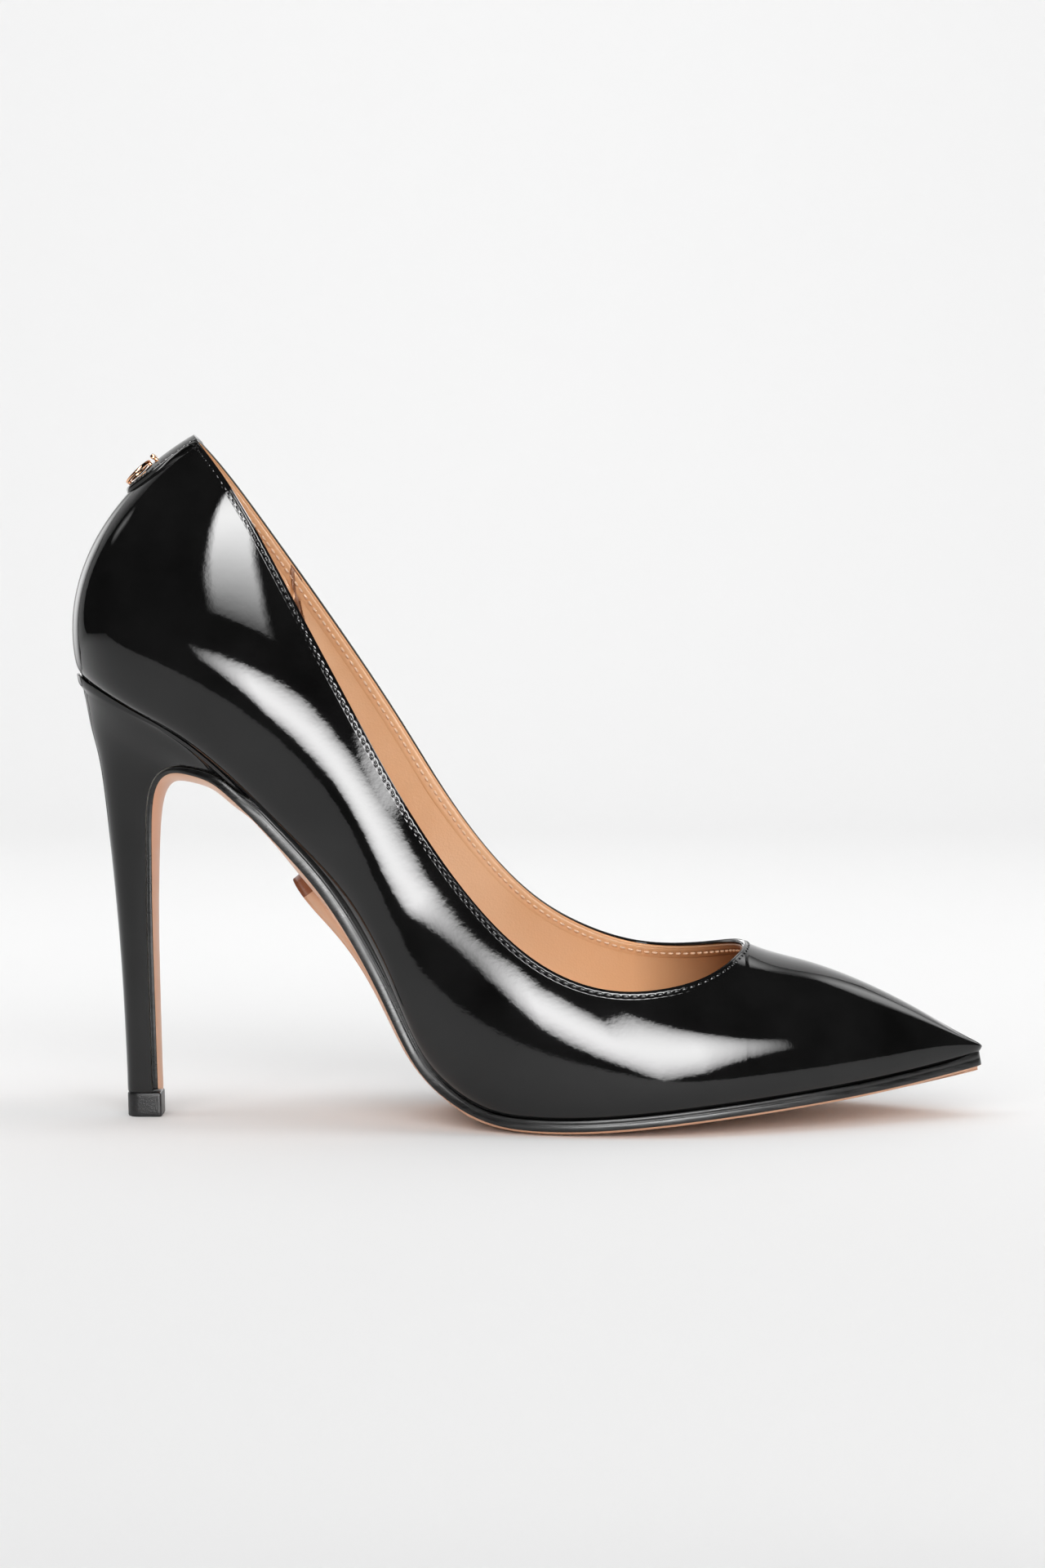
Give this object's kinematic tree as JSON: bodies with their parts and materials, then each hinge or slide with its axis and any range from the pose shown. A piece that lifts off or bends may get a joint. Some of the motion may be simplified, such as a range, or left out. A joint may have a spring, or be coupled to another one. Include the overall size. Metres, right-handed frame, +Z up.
{
  "type": "high heel pump",
  "caption": "Pointed stiletto pump with a low-cut throat, a wrapped slim heel, a thin sole that runs down the heel breast and a small ring ornament at the back.",
  "frame": {"origin": "on the floor, under the middle of the shoe's box", "axes": "+X to the toe, +Y to the inner side of the foot, +Z up"},
  "size_m": [0.2302, 0.0763, 0.1725],
  "materials": {
    "patent": "black patent, mirror gloss",
    "lining": "nude lining leather, satin",
    "sole": "nude sole leather, satin, edges painted black",
    "board": "fibreboard, matt",
    "foam": "soft foam, matt",
    "steel": "plain steel",
    "plastic": "moulded heel block",
    "lift": "hard black heel-tip rubber, satin",
    "gold": "polished rose gold plate"
  },
  "bodies": {
    "root": {"quarter_outer": "patent", "quarter_inner": "patent", "vamp": "patent", "heel_tab": "patent", "quarter_lining": "lining", "vamp_lining": "lining", "heel_counter": "board", "toe_puff": "board", "sock": "lining", "sock_foam": "foam", "insole_board": "board", "shank_board": "board", "steel_shank": "steel", "shank_rivet_rear": "steel", "shank_rivet_front": "steel", "bottom_filler": "foam", "outsole": "sole", "forepart_tread": "sole", "heel_core": "plastic", "heel_cover": "patent", "heel_tube": "steel", "top_lift": "lift", "top_lift_pin": "steel", "heel_screw": "steel", "heel_nail_1": "steel", "heel_nail_2": "steel", "heel_nail_3": "steel", "heel_nail_4": "steel", "ornament_ring": "gold", "ornament_bar": "gold", "ornament_post_1": "gold", "ornament_post_2": "gold", "ornament_post_3": "gold"}
  },
  "joints": []
}
